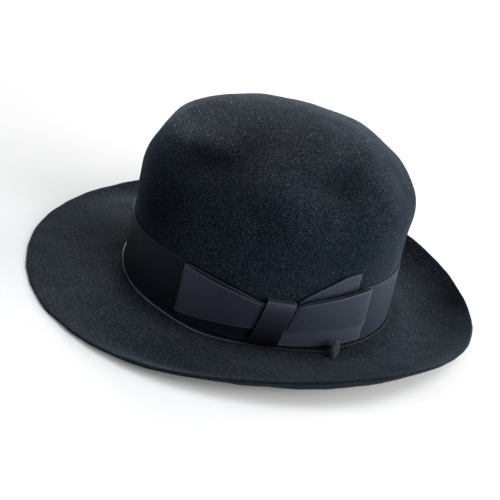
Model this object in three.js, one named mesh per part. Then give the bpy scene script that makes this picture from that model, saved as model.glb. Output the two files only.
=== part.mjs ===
// A soft felt fedora with a ribbon band and a side bow, as it rests on a flat surface.
// Millimetres, +Z up, the front of the hat towards -Y, the bow on the wearer's left at +X.
// The origin is the middle of the brim's outline, on the surface that the hat rests on.
import * as THREE from 'three';

// Head opening and felt
const headLength = 203;
const headWidth = 166.5;
const feltThickness = 2.5;

// Crown: open height above its foot, forward lean of its axis, and how the foot rises at front and back
const crownHeight = 145.5;
const crownLean = 0.025;
const footSaddle = 2.24;
const footFrontRise = 2.12;
const dentDepth = 11;

// Brim, measured from the foot of the crown, the highest lift of its edge at the wearer's left, and the
// share of that lift at the wearer's right
const brimFront = 73;
const brimBack = 67;
const brimSide = 65;
const brimLift = 26;
const brimRightLift = 0.86;
const brimFrontSquareness = 2.12;
const brimBackSquareness = 2.02;
const breakFillet = 2.2;
const edgeRoundShare = 0.35;

// Ribbon band
const ribbonThickness = 0.8;
const bandHeight = 44.5;
const clearance = 0.3;

// Bow: how far it reaches from the middle of its knot, how far its loops puff out over a flat stack of
// ribbons, and how far the knot leans over the band's height, about its place at the pivot's height
const loopReachFront = 69;
const loopReachRear = 71;
const tailReach = 62;
const loopPuff = 3.6;
const knotWidth = 20;
const knotLean = 11;
const knotPivot = 0.49;

// Cord round the foot of the band, how loose it hangs before the bow, and its button, which stands on edge
// on the brim: its place along the band and out from the crown, its lift, and its turn and tilt in degrees
const cordDiameter = 1.3;
const cordLooseness = 3.5;
const buttonDiameter = 13;
const buttonThickness = 3.6;
const buttonAlong = 46.5;
const buttonOut = 9.5;
const buttonLift = 0.2;
const buttonTurn = 52;
const buttonTilt = 12;

// How finely the shapes are divided
const columns = 64;
const crownRings = 19;
const cordSides = 8;
const cordSteps = 76;
const cordTightPoints = 40;
const ribbonStep = 7;
const ribbonHeightSteps = 2;
const bandHeightSteps = 3;
const knotWidthSteps = 4;
const buttonSides = 16;

const crownHalfLength = headLength / 2 + feltThickness;
const crownHalfWidth = headWidth / 2 + feltThickness;
const footLevel = feltThickness + footSaddle;
const degrees = Math.PI / 180;

// Sections of the crown from its foot to its top. Heights are shares of crownHeight. Front and back reach
// are shares of the crown's half length, and side reach is a share of its half width.
const crownSections = [
  { rise: 0.0, front: 1.0, back: 1.0, side: 1.0, squareness: 2.14 },
  { rise: 0.14, front: 0.995, back: 0.99, side: 0.995, squareness: 2.14 },
  { rise: 0.3, front: 0.99, back: 0.98, side: 0.985, squareness: 2.14 },
  { rise: 0.42, front: 0.99, back: 0.978, side: 0.98, squareness: 2.14 },
  { rise: 0.53, front: 0.99, back: 0.98, side: 0.965, squareness: 2.14 },
  { rise: 0.606, front: 0.985, back: 0.985, side: 0.94, squareness: 2.14 },
  { rise: 0.671, front: 0.965, back: 0.965, side: 0.905, squareness: 2.14 },
  { rise: 0.737, front: 0.925, back: 0.91, side: 0.855, squareness: 2.14 },
  { rise: 0.8, front: 0.88, back: 0.82, side: 0.79, squareness: 2.12 },
  { rise: 0.862, front: 0.825, back: 0.7, side: 0.695, squareness: 2.1 },
  { rise: 0.917, front: 0.74, back: 0.565, side: 0.57, squareness: 2.08 },
  { rise: 0.965, front: 0.54, back: 0.35, side: 0.38, squareness: 2.05 },
  { rise: 0.992, front: 0.27, back: 0.1, side: 0.185, squareness: 2.0 },
  { rise: 1.0, front: 0.08, back: -0.08, side: 0.0, squareness: 2.0 },
];

// Dents pressed into the felt on both sides, at an angle from the front in degrees. Depths are shares of
// dentDepth, rises and tallness are shares of crownHeight, and widths are shares of the crown's half width.
// Slant turns a dent in the face of the crown, in degrees, its rear end up where it is positive. A depth
// below 0 is a ridge.
const dents = [
  { name: 'front pinch', angle: 44, rise: 0.835, depth: 1.0, wide: 0.32, tall: 0.1, slant: 14 },
  { name: 'front fold', angle: 38, rise: 0.56, depth: 0.5, wide: 0.3, tall: 0.17, slant: -25 },
  { name: 'front hollow', angle: 54, rise: 0.32, depth: 0.3, wide: 0.45, tall: 0.22, slant: 0 },
  { name: 'rear dent', angle: 108, rise: 0.84, depth: 0.85, wide: 0.32, tall: 0.12, slant: -8 },
  { name: 'rear ridge', angle: 140, rise: 0.8, depth: -0.28, wide: 0.13, tall: 0.13, slant: 0 },
];
const dentThrough = 0.4;

// Heights of the brim's top face over the felt's thickness, at an angle from the front in degrees, the
// same on both sides. They are shares of the brim's lift, at the shares of its width in brimStations.
const brimStations = [0.28, 0.58, 0.82, 1];
const brimSections = [
  { angle: 0, inner: 0.111, middle: 0.061, curlFoot: 0.015, edge: 0.0 },
  { angle: 30, inner: 0.08, middle: 0.042, curlFoot: 0.014, edge: 0.01 },
  { angle: 60, inner: 0.019, middle: 0.015, curlFoot: 0.02, edge: 0.23 },
  { angle: 90, inner: 0.0, middle: 0.096, curlFoot: 0.28, edge: 0.78 },
  { angle: 120, inner: 0.0, middle: 0.172, curlFoot: 0.42, edge: 1.0 },
  { angle: 150, inner: 0.009, middle: 0.09, curlFoot: 0.262, edge: 0.64 },
  { angle: 180, inner: 0.065, middle: 0.068, curlFoot: 0.181, edge: 0.43 },
];

// Pull of the knot on the ribbons: heights are shares of bandHeight at shares of the bow's reach
const knotGather = [
  { along: -1, height: 1 },
  { along: -0.5, height: 0.915 },
  { along: -0.3, height: 0.85 },
  { along: -0.15, height: 0.78 },
  { along: 0.17, height: 0.78 },
  { along: 0.3, height: 0.845 },
  { along: 0.5, height: 0.915 },
  { along: 1, height: 1 },
];

// Ribbon layers of the bow. Along is a share of that piece's reach from the knot's middle, layer counts the
// ribbons that lie under it in a flat stack, puff is a share of loopPuff, and bottom and top are shares of
// the band's height at that place.
const frontLoopSections = [
  { along: 0.04, layer: 2, puff: 0, bottom: 0.4, top: 0.96 },
  { along: 0.3, layer: 2, puff: 0, bottom: 0.38, top: 0.97 },
  { along: 0.6, layer: 2, puff: 0, bottom: 0.32, top: 0.98 },
  { along: 0.9, layer: 2, puff: 0.07, bottom: 0.22, top: 0.99 },
  { along: 0.98, layer: 2, puff: 0.28, bottom: 0.19, top: 1.0 },
  { along: 1.0, layer: 2.5, puff: 0.54, bottom: 0.17, top: 1.0 },
  { along: 0.97, layer: 3, puff: 0.83, bottom: 0.18, top: 1.0 },
  { along: 0.88, layer: 3, puff: 1, bottom: 0.21, top: 0.995 },
  { along: 0.6, layer: 3, puff: 0.97, bottom: 0.29, top: 0.975 },
  { along: 0.36, layer: 3, puff: 0.68, bottom: 0.34, top: 0.96 },
  { along: 0.2, layer: 3, puff: 0.26, bottom: 0.38, top: 0.95 },
  { along: 0.1, layer: 3, puff: 0.06, bottom: 0.4, top: 0.95 },
  { along: 0.04, layer: 3, puff: 0, bottom: 0.4, top: 0.95 },
];
const rearLoopSections = [
  { along: 0.04, layer: 2, puff: 0, bottom: 0.44, top: 0.96 },
  { along: 0.3, layer: 2, puff: 0, bottom: 0.42, top: 0.97 },
  { along: 0.6, layer: 2, puff: 0, bottom: 0.4, top: 0.99 },
  { along: 0.9, layer: 2, puff: 0.05, bottom: 0.38, top: 1.01 },
  { along: 0.98, layer: 2, puff: 0.24, bottom: 0.37, top: 1.04 },
  { along: 1.0, layer: 2.5, puff: 0.42, bottom: 0.37, top: 1.05 },
  { along: 0.97, layer: 3, puff: 0.6, bottom: 0.38, top: 1.05 },
  { along: 0.88, layer: 3, puff: 0.72, bottom: 0.39, top: 1.04 },
  { along: 0.6, layer: 3, puff: 0.68, bottom: 0.41, top: 1.01 },
  { along: 0.36, layer: 3, puff: 0.47, bottom: 0.43, top: 0.98 },
  { along: 0.2, layer: 3, puff: 0.18, bottom: 0.44, top: 0.96 },
  { along: 0.1, layer: 3, puff: 0.05, bottom: 0.44, top: 0.95 },
  { along: 0.04, layer: 3, puff: 0, bottom: 0.44, top: 0.95 },
];
const frontUnderSections = [
  { along: 0.04, layer: 1, puff: 0, bottom: 0.05, top: 0.37 },
  { along: 0.35, layer: 1, puff: 0, bottom: 0.05, top: 0.35 },
  { along: 0.7, layer: 1, puff: 0, bottom: 0.05, top: 0.31 },
  { along: 0.98, layer: 1, puff: 0, bottom: 0.05, top: 0.24 },
];
const rearUnderSections = [
  { along: 0.04, layer: 1, puff: 0, bottom: 0.05, top: 0.4 },
  { along: 0.35, layer: 1, puff: 0, bottom: 0.05, top: 0.42 },
  { along: 0.7, layer: 1, puff: 0, bottom: 0.05, top: 0.42 },
  { along: 1.03, layer: 1, puff: 0, bottom: 0.04, top: 0.4 },
];
const rearTailSections = [
  { along: 0.06, layer: 1, puff: 0, bottom: 0.5, top: 0.94 },
  { along: 0.21, layer: 1, puff: 0, bottom: 0.53, top: 0.97 },
  { along: 0.33, layer: 1, puff: 0, bottom: 0.56, top: 1.08 },
  { along: 0.55, layer: 1, puff: 0, bottom: 0.62, top: 1.21 },
  { along: 0.78, layer: 1, puff: 0, bottom: 0.7, top: 1.33 },
  { along: 0.97, layer: 1, puff: 0, bottom: 0.78, top: 1.33 },
];

// The knot's wrap, from the felt over its top, down its face and back under it. Heights are shares of
// bandHeight, layers and puffs are as in the tables above, and widths are shares of knotWidth.
const knotSections = [
  { height: 0.815, layer: 0, puff: 0, width: 0.98 },
  { height: 0.818, layer: 2, puff: 0.03, width: 1.0 },
  { height: 0.8, layer: 4, puff: 0, width: 1.02 },
  { height: 0.74, layer: 4, puff: 0.23, width: 1.02 },
  { height: 0.6, layer: 4, puff: 0.31, width: 0.98 },
  { height: 0.44, layer: 4, puff: 0.31, width: 0.96 },
  { height: 0.24, layer: 4, puff: 0.28, width: 1.0 },
  { height: 0.09, layer: 4, puff: 0.13, width: 1.04 },
  { height: 0.025, layer: 3, puff: 0.1, width: 1.02 },
  { height: 0.012, layer: 1, puff: 0.04, width: 0.96 },
];

// Where the cord hangs loose: along is a share of the bow's reach from the knot's middle, and loose is a
// share of cordLooseness out from where the cord is tight. Round the rest of the hat it is tight.
const cordSlack = [
  { along: 0.6, loose: 1.0 },
  { along: 0.51, loose: 0.39 },
  { along: 0.41, loose: 0.1 },
  { along: 0.32, loose: 0.56 },
  { along: 0.2, loose: 0.1 },
  { along: -0.09, loose: 0.04 },
  { along: -0.32, loose: 0.27 },
  { along: -0.52, loose: 0.67 },
  { along: -0.72, loose: 0.9 },
  { along: -0.9, loose: 0.56 },
  { along: -1.07, loose: 0.1 },
];

// A smooth curve through the values at the given places, flat or straight at its ends
function smooth(places, values, at, flatEnds = false) {
  const last = places.length - 1;
  let step = 0;
  while (step < last - 1 && at > places[step + 1]) step += 1;
  const slope = (index) => {
    if (flatEnds && (index === 0 || index === last)) return 0;
    const before = Math.max(index - 1, 0);
    const after = Math.min(index + 1, last);
    return (values[after] - values[before]) / (places[after] - places[before]);
  };
  const span = places[step + 1] - places[step];
  const t = (at - places[step]) / span;
  const start = (1 + 2 * t) * (1 - t) ** 2 * values[step] + t ** 2 * (3 - 2 * t) * values[step + 1];
  return start + t * (1 - t) * span * ((1 - t) * slope(step) - t * slope(step + 1));
}

function column(rows, name) {
  return rows.map((row) => row[name]);
}

const sectionPlaces = crownSections.map((row, index) => index);
const topSection = crownSections.length - 1;

function crownColumn(name, section) {
  return smooth(sectionPlaces, column(crownSections, name), section);
}

// A point of an oval at an angle from the front, with its own reach to the front, back and side
function ovalPoint(angle, front, back, side, squareness) {
  const power = 2 / squareness;
  const lengthwise = Math.sign(Math.cos(angle)) * Math.abs(Math.cos(angle)) ** power;
  const sideways = Math.sign(Math.sin(angle)) * Math.abs(Math.sin(angle)) ** power;
  return new THREE.Vector2(side * sideways, (back - front) / 2 - (lengthwise * (front + back)) / 2);
}

// The crown's outer face before its dents
function plainCrownPoint(angle, section) {
  const flat = ovalPoint(
    angle,
    crownColumn('front', section) * crownHalfLength,
    crownColumn('back', section) * crownHalfLength,
    crownColumn('side', section) * crownHalfWidth,
    crownColumn('squareness', section),
  );
  const rise = crownColumn('rise', section);
  const footWave = footSaddle * Math.cos(2 * angle) + footFrontRise * Math.cos(angle);
  const height = footLevel + footWave * (1 - rise) ** 2 + rise * crownHeight;
  return new THREE.Vector3(flat.x, flat.y - crownLean * rise * crownHeight, height + crownLean * flat.y);
}

// The outward direction of a face given as a function of an angle and a section
function outward(face, angle, section) {
  const step = 0.01;
  const around = face(angle + step, section).sub(face(angle - step, section));
  const below = Math.max(section - step, 0);
  const above = Math.min(section + step, topSection);
  const upward = face(angle, above).sub(face(angle, below));
  return around.cross(upward).normalize();
}

// How deep the dents press at a point of the crown, the same on its left and right
function dentDepthAt(point) {
  const mirrored = new THREE.Vector3(Math.abs(point.x), point.y, point.z);
  let depth = 0;
  for (const dent of dentPlaces) {
    const away = mirrored.clone().sub(dent.centre);
    const across = away.dot(dent.around) / (dent.wide * crownHalfWidth);
    const up = away.dot(dent.upward) / (dent.tall * crownHeight);
    const through = away.dot(dent.face) / (dentThrough * crownHalfWidth);
    depth += dent.depth * dentDepth * Math.exp(-(across ** 2) - up ** 2 - through ** 2);
  }
  return depth;
}

// The crown's outer face with its dents
function crownPoint(angle, section) {
  const point = plainCrownPoint(angle, section);
  const depth = dentDepthAt(point);
  return point.addScaledVector(outward(plainCrownPoint, angle, section), -depth);
}

// The section of the crown that lies at a height above its foot
function sectionAtHeight(height) {
  let low = 0;
  let high = topSection;
  for (let pass = 0; pass < 40; pass += 1) {
    const middle = (low + high) / 2;
    if (crownColumn('rise', middle) * crownHeight < height) low = middle;
    else high = middle;
  }
  return low;
}

// Where each dent's middle lies on the crown, and the directions round, up and out of the face there
const dentPlaces = dents.map((dent) => {
  const angle = dent.angle * degrees;
  const section = sectionAtHeight(dent.rise * crownHeight);
  const face = outward(plainCrownPoint, angle, section);
  const around = new THREE.Vector3(0, 0, 1).cross(face).normalize();
  around.applyAxisAngle(face, dent.slant * degrees);
  const upward = face.clone().cross(around);
  return { ...dent, centre: plainCrownPoint(angle, section), face, around, upward };
});

// A point that stands off the crown's outer face, at a height above the band's lower edge
function wallPoint(angle, height, standoff) {
  const section = sectionAtHeight(breakFillet + height);
  return crownPoint(angle, section).addScaledVector(outward(crownPoint, angle, section), standoff);
}

// The brim's top face at a distance out from the crown's foot
function brimPoint(angle, out) {
  const foot = crownPoint(angle, 0);
  const rim = ovalPoint(
    angle,
    crownHalfLength + brimFront,
    crownHalfLength + brimBack,
    crownHalfWidth + brimSide,
    Math.cos(angle) > 0 ? brimFrontSquareness : brimBackSquareness,
  );
  const width = rim.distanceTo(new THREE.Vector2(foot.x, foot.y));
  const share = out / width;
  const turn = Math.abs(Math.atan2(Math.sin(angle), Math.cos(angle))) / degrees;
  const rightness = (1 - Math.sin(angle)) / 2;
  const sideLift = brimLift * THREE.MathUtils.lerp(1, brimRightLift, rightness);
  const heights = ['inner', 'middle', 'curlFoot', 'edge'].map((name) => {
    const lift = smooth(column(brimSections, 'angle'), column(brimSections, name), turn, true);
    return feltThickness + sideLift * lift;
  });
  const height = smooth([0, ...brimStations], [foot.z, ...heights], share);
  const flat = new THREE.Vector2(foot.x, foot.y).lerp(rim, share);
  return { point: new THREE.Vector3(flat.x, flat.y, height), width };
}

// The oval of the band's outer face, as distances along it from the wearer's left side
const bandOuterFace = clearance + ribbonThickness;
const ovalSteps = 720;
const ovalDistances = [0];
for (let step = 1; step <= ovalSteps; step += 1) {
  const before = wallPoint(90 * degrees + ((step - 1) / ovalSteps) * 2 * Math.PI, 0, bandOuterFace);
  const after = wallPoint(90 * degrees + (step / ovalSteps) * 2 * Math.PI, 0, bandOuterFace);
  ovalDistances.push(ovalDistances[step - 1] + before.distanceTo(after));
}
const bandLength = ovalDistances[ovalSteps];

// The angle at a distance along the band from the bow's middle, towards the back where it is positive
function angleAlong(distance) {
  const wanted = ((distance % bandLength) + bandLength) % bandLength;
  let step = 1;
  while (step < ovalSteps && ovalDistances[step] < wanted) step += 1;
  const part = (wanted - ovalDistances[step - 1]) / (ovalDistances[step] - ovalDistances[step - 1]);
  return 90 * degrees + ((step - 1 + part) / ovalSteps) * 2 * Math.PI;
}

function bowReach(share) {
  return share < 0 ? loopReachFront : loopReachRear;
}

// The band's height at a distance from the knot, which gathers it
function bandHeightAt(distance) {
  const share = THREE.MathUtils.clamp(distance / bowReach(distance), -1, 1);
  return bandHeight * smooth(column(knotGather, 'along'), column(knotGather, 'height'), share, true);
}

// A closed body through loops of points. It is closed by an end point at each end, or joined end to end.
function loft(loops, ends = []) {
  const count = loops[0].length;
  const vertices = loops.flat().concat(ends);
  const triangles = [];
  const spans = ends.length ? loops.length - 1 : loops.length;
  for (let row = 0; row < spans; row += 1) {
    const here = row * count;
    const next = ((row + 1) % loops.length) * count;
    for (let side = 0; side < count; side += 1) {
      const beside = (side + 1) % count;
      triangles.push([here + side, next + side, next + beside]);
      triangles.push([here + side, next + beside, here + beside]);
    }
  }
  if (ends.length) {
    const first = loops.length * count;
    const lastLoop = (loops.length - 1) * count;
    for (let side = 0; side < count; side += 1) {
      const beside = (side + 1) % count;
      triangles.push([first, side, beside]);
      triangles.push([first + 1, lastLoop + beside, lastLoop + side]);
    }
  }
  return closedGeometry(vertices, triangles);
}

// An indexed geometry whose faces point out
function closedGeometry(vertices, triangles) {
  let volume = 0;
  for (const [a, b, c] of triangles) {
    volume += vertices[a].dot(new THREE.Vector3().crossVectors(vertices[b], vertices[c]));
  }
  const index = triangles.flatMap(([a, b, c]) => (volume > 0 ? [a, b, c] : [a, c, b]));
  const geometry = new THREE.BufferGeometry();
  const numbers = vertices.flatMap((vertex) => vertex.toArray());
  geometry.setAttribute('position', new THREE.Float32BufferAttribute(numbers, 3));
  geometry.setIndex(index);
  geometry.computeVertexNormals();
  return geometry;
}

function middleOf(loop) {
  return loop.reduce((sum, point) => sum.add(point), new THREE.Vector3()).divideScalar(loop.length);
}

const columnAngles = Array.from({ length: columns }, (unused, index) => (index / columns) * 2 * Math.PI);

// Crown and brim: the outer face from the top of the crown to the brim's edge, and the inner face a felt's
// thickness behind it. Where the brim reaches the surface it is pressed flat.
function feltBodyGeometry() {
  const footSection = sectionAtHeight(breakFillet);
  const crownLoops = [];
  for (let ring = 1; ring <= crownRings; ring += 1) {
    const section = THREE.MathUtils.lerp(topSection, footSection, ring / crownRings);
    crownLoops.push(columnAngles.map((angle) => crownPoint(angle, section)));
  }
  const filletLoops = [30, 60, 90].map((turn) => columnAngles.map((angle) => {
    const out = breakFillet * (1 - Math.cos(turn * degrees));
    const point = brimPoint(angle, out).point;
    return point.setZ(point.z + breakFillet * (1 - Math.sin(turn * degrees)));
  }));
  const edgeRound = feltThickness * edgeRoundShare;
  const brimShares = [0.15, 0.29, 0.43, 0.57, 0.7, 0.8, 0.88, 0.94, 1];
  const brimLoops = brimShares.map((share) => columnAngles.map((angle) => {
    const width = brimPoint(angle, 0).width;
    return brimPoint(angle, share * (width - edgeRound)).point;
  }));
  const outer = [...crownLoops, ...filletLoops, ...brimLoops];
  const top = crownPoint(0, topSection);
  const normals = outer.map((loop, row) => loop.map((point, index) => {
    const around = loop[(index + 1) % columns].clone().sub(loop[(index + columns - 1) % columns]);
    const above = row === 0 ? top : outer[row - 1][index];
    const below = outer[Math.min(row + 1, outer.length - 1)][index];
    return below.clone().sub(above).cross(around).normalize();
  }));
  const inner = outer.map((loop, row) => loop.map((point, index) => {
    const behind = point.clone().addScaledVector(normals[row][index], -feltThickness);
    return behind.setZ(Math.max(behind.z, 0));
  }));
  const lastRow = outer.length - 1;
  const edgeLoops = [0.25, 0.75].map((depth) => outer[lastRow].map((point, index) => {
    const outwards = point.clone().sub(outer[lastRow - 1][index]).normalize();
    const onEdge = point.clone().lerp(inner[lastRow][index], depth).addScaledVector(outwards, edgeRound);
    return onEdge.setZ(Math.max(onEdge.z, 0));
  }));
  const topInside = top.clone().setZ(top.z - feltThickness);
  return loft([...outer, ...edgeLoops, ...inner.reverse()], [top, topInside]);
}

// The ribbon round the foot of the crown
function hatBandGeometry() {
  const loops = columnAngles.map((angle) => {
    const distance = distanceAt(angle);
    const height = bandHeightAt(distance);
    const inside = [];
    const outside = [];
    for (let step = 0; step <= bandHeightSteps; step += 1) {
      inside.push(wallPoint(angle, (height * step) / bandHeightSteps, clearance));
      outside.push(wallPoint(angle, (height * step) / bandHeightSteps, bandOuterFace));
    }
    return [...inside, ...outside.reverse()];
  });
  return loft(loops);
}

// The signed distance along the band from the bow's middle
function distanceAt(angle) {
  const turn = ((angle / degrees - 90 + 540) % 360) - 180;
  const step = ((turn + 360) % 360) / 360 * ovalSteps;
  const low = Math.floor(step);
  const high = Math.min(low + 1, ovalSteps);
  const along = THREE.MathUtils.lerp(ovalDistances[low], ovalDistances[high], step - low);
  return turn < 0 ? along - bandLength : along;
}

// The rows of a ribbon's table with smooth ones between them, at most ribbonStep apart
function closerSections(rows, reach) {
  const places = rows.map((row, index) => index);
  const names = Object.keys(rows[0]);
  const between = (place) => Object.fromEntries(
    names.map((name) => [name, smooth(places, column(rows, name), place)]),
  );
  const closer = [rows[0]];
  for (let index = 1; index < rows.length; index += 1) {
    const steps = Math.ceil((Math.abs(rows[index].along - rows[index - 1].along) * reach) / ribbonStep);
    for (let step = 1; step <= Math.max(steps, 1); step += 1) {
      closer.push(between(index - 1 + step / Math.max(steps, 1)));
    }
  }
  return closer;
}

// How far a ribbon's middle stands off the felt, over the ribbons under it and with its puff
function standoffOf(row) {
  const flatStack = (row.layer + 1) * clearance + (row.layer + 0.5) * ribbonThickness;
  return flatStack + row.puff * loopPuff;
}

// A ribbon on edge along the crown, from its table of sections
function bowRibbonGeometry(rows, reach, direction) {
  const sections = closerSections(rows, reach);
  const path = sections.map((row) => new THREE.Vector2(direction * row.along * reach, standoffOf(row)));
  const loops = sections.map((row, index) => {
    const before = path[Math.max(index - 1, 0)];
    const after = path[Math.min(index + 1, path.length - 1)];
    const heading = after.clone().sub(before).normalize();
    const sideStep = new THREE.Vector2(-heading.y, heading.x).multiplyScalar(ribbonThickness / 2);
    const faces = [path[index].clone().add(sideStep), path[index].clone().sub(sideStep)];
    const [oneFace, otherFace] = faces.map((place) => {
      const height = bandHeightAt(place.x);
      const points = [];
      for (let step = 0; step <= ribbonHeightSteps; step += 1) {
        const share = THREE.MathUtils.lerp(row.bottom, row.top, step / ribbonHeightSteps);
        points.push(wallPoint(angleAlong(place.x), share * height, place.y));
      }
      return points;
    });
    return [...oneFace, ...otherFace.reverse()];
  });
  return loft(loops, [middleOf(loops[0]), middleOf(loops[loops.length - 1])]);
}

// The wrap round the middle of the bow, a strip that runs up and over the layers
function bowKnotGeometry() {
  const path = knotSections.map((row) => new THREE.Vector2(row.height * bandHeight, standoffOf(row)));
  const loops = knotSections.map((row, index) => {
    const before = path[Math.max(index - 1, 0)];
    const after = path[Math.min(index + 1, path.length - 1)];
    const heading = after.clone().sub(before).normalize();
    const sideStep = new THREE.Vector2(-heading.y, heading.x).multiplyScalar(ribbonThickness / 2);
    const faces = [path[index].clone().add(sideStep), path[index].clone().sub(sideStep)];
    const [oneFace, otherFace] = faces.map((place) => {
      const points = [];
      for (let step = 0; step <= knotWidthSteps; step += 1) {
        const sideways = (step / knotWidthSteps - 0.5) * row.width * knotWidth;
        const lean = (row.height - knotPivot) * knotLean;
        points.push(wallPoint(angleAlong(sideways + lean), place.x, place.y));
      }
      return points;
    });
    return [...oneFace, ...otherFace.reverse()];
  });
  return loft(loops, [middleOf(loops[0]), middleOf(loops[loops.length - 1])]);
}

// The cord: loose in front of the bow, tight round the rest of the hat, both ends at the button
function windCordGeometry() {
  const tightOut = bandOuterFace + clearance + cordDiameter / 2;
  const route = cordSlack.map((row) => (
    cordPoint(row.along * bowReach(row.along), tightOut + row.loose * cordLooseness)
  ));
  const tightStart = cordSlack[cordSlack.length - 1].along * loopReachFront;
  const tightEnd = buttonAlong + buttonDiameter / 2 - bandLength;
  for (let step = 1; step <= cordTightPoints; step += 1) {
    route.push(cordPoint(THREE.MathUtils.lerp(tightStart, tightEnd, step / cordTightPoints), tightOut));
  }
  const curve = new THREE.CatmullRomCurve3(route, false, 'centripetal');
  const section = new THREE.Shape();
  for (let side = 0; side < cordSides; side += 1) {
    const turn = (side / cordSides) * 2 * Math.PI;
    const corner = [Math.cos(turn) * cordDiameter / 2, Math.sin(turn) * cordDiameter / 2];
    if (side === 0) section.moveTo(...corner);
    else section.lineTo(...corner);
  }
  section.closePath();
  return new THREE.ExtrudeGeometry(section, { steps: cordSteps, extrudePath: curve, bevelEnabled: false });
}

// The cord's middle where it lies on the brim
function cordPoint(along, out) {
  const point = brimPoint(angleAlong(along), out).point;
  return point.setZ(point.z + clearance + cordDiameter / 2);
}

// A domed disc, its axis along Z before it is turned
function buttonGeometry() {
  const radius = buttonDiameter / 2;
  const half = buttonThickness / 2;
  const profile = [
    new THREE.Vector2(0, -half),
    new THREE.Vector2(radius * 0.8, -half),
    new THREE.Vector2(radius * 0.97, -half * 0.55),
    new THREE.Vector2(radius, 0),
    new THREE.Vector2(radius * 0.95, half * 0.45),
    new THREE.Vector2(radius * 0.72, half * 0.85),
    new THREE.Vector2(0, half),
  ];
  const geometry = new THREE.LatheGeometry(profile, buttonSides);
  geometry.rotateX(90 * degrees);
  return geometry;
}

function addMesh(parent, name, geometry, color, roughness) {
  const mesh = new THREE.Mesh(geometry, new THREE.MeshStandardMaterial({ color, roughness, metalness: 0 }));
  mesh.name = name;
  parent.add(mesh);
  return mesh;
}

const feltColor = 0x1b2028;
const ribbonColor = 0x14161b;
const bowColor = 0x1d2027;
const feltRoughness = 0.95;
const ribbonRoughness = 0.7;
const cordRoughness = 0.8;

const fedora = new THREE.Group();
const feltBody = addMesh(fedora, 'felt_body', feltBodyGeometry(), feltColor, feltRoughness);
addMesh(fedora, 'hat_band', hatBandGeometry(), ribbonColor, ribbonRoughness);
const [front, rear] = [{ reach: loopReachFront, side: -1 }, { reach: loopReachRear, side: 1 }];
const bowRibbons = [
  { name: 'bow_front_under_layer', rows: frontUnderSections, ...front, color: ribbonColor },
  { name: 'bow_front_loop', rows: frontLoopSections, ...front, color: bowColor },
  { name: 'bow_rear_under_layer', rows: rearUnderSections, ...rear, color: ribbonColor },
  { name: 'bow_rear_loop', rows: rearLoopSections, ...rear, color: bowColor },
  { name: 'bow_rear_tail', rows: rearTailSections, ...rear, reach: tailReach, color: bowColor },
];
for (const ribbon of bowRibbons) {
  const geometry = bowRibbonGeometry(ribbon.rows, ribbon.reach, ribbon.side);
  addMesh(fedora, ribbon.name, geometry, ribbon.color, ribbonRoughness);
}
addMesh(fedora, 'bow_knot', bowKnotGeometry(), ribbonColor, ribbonRoughness);
addMesh(fedora, 'wind_cord', windCordGeometry(), ribbonColor, cordRoughness);

const button = addMesh(fedora, 'cord_button', buttonGeometry(), bowColor, cordRoughness);
const buttonFoot = brimPoint(angleAlong(buttonAlong), buttonOut).point;
button.position.copy(buttonFoot).setZ(buttonFoot.z + buttonDiameter / 2 + buttonLift);
button.rotation.set(0, (90 - buttonTilt) * degrees, buttonTurn * degrees, 'ZYX');

// The hat is centred by its brim's outline
feltBody.geometry.computeBoundingBox();
const outline = feltBody.geometry.boundingBox;
const outlineMiddle = outline.getCenter(new THREE.Vector3());
fedora.position.set(-outlineMiddle.x, -outlineMiddle.y, -outline.min.z);

export default fedora;
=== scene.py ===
"""Looks for a soft felt fedora with a ribbon band and a side bow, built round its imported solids.

The front of the hat faces -Y, the bow is on the wearer's left at +X, and +Z is up. Lengths are in metres.
"""

import logging
import math
from dataclasses import dataclass, field
from enum import Enum
from typing import Union

import bmesh
import bpy
import numpy as np
from mathutils import Matrix, Vector, noise
from mathutils.bvhtree import BVHTree

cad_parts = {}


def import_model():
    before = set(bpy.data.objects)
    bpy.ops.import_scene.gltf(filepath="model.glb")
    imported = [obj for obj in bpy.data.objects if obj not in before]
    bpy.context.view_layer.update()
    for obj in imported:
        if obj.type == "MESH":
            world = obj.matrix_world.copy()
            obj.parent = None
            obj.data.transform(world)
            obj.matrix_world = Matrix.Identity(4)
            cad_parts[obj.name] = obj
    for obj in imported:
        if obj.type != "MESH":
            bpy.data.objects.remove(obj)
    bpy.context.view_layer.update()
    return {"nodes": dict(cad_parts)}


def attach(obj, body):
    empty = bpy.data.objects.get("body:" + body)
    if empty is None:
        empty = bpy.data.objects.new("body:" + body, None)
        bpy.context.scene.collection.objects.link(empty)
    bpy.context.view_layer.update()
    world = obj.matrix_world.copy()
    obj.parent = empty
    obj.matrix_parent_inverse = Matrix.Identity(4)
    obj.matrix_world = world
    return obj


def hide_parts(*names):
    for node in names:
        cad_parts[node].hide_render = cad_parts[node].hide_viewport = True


LOG = logging.getLogger("fedora")
BODY = "root"
MERGE_DISTANCE = 2e-6
QUAD_ANGLE = math.radians(60)

Colour = tuple[float, float, float]
Point = tuple[float, float, float]
Span = tuple[float, float]
Socket = bpy.types.NodeSocket
Value = Union[Socket, float]
Paint = Union[Socket, Colour]

WHITE: Colour = (1.0, 1.0, 1.0)
BLACK: Colour = (0.0, 0.0, 0.0)


class Finish(Enum):
    """The material slots."""

    FELT = "felt"
    BAND = "band_ribbon"
    BOW = "bow_ribbon"
    KNOT = "knot_ribbon"
    CORD = "cord"
    BUTTON = "button_cloth"


class RibLay(Enum):
    """Which way a ribbon's ribs run on the hat, as a turn in degrees from upright."""

    UPRIGHT = 0.0
    LEVEL = 90.0
    LEANING = -42.0


class Step(Enum):
    """How a step rises between its two ends."""

    SMOOTH = "SMOOTHSTEP"
    EVEN = "LINEAR"


@dataclass(frozen=True)
class Grain:
    """A noise pattern.

    Attributes:
        scale: Its features to the metre.
        detail: How many finer layers it has.
        roughness: How strong they are.
    """

    scale: float
    detail: float
    roughness: float


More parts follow.
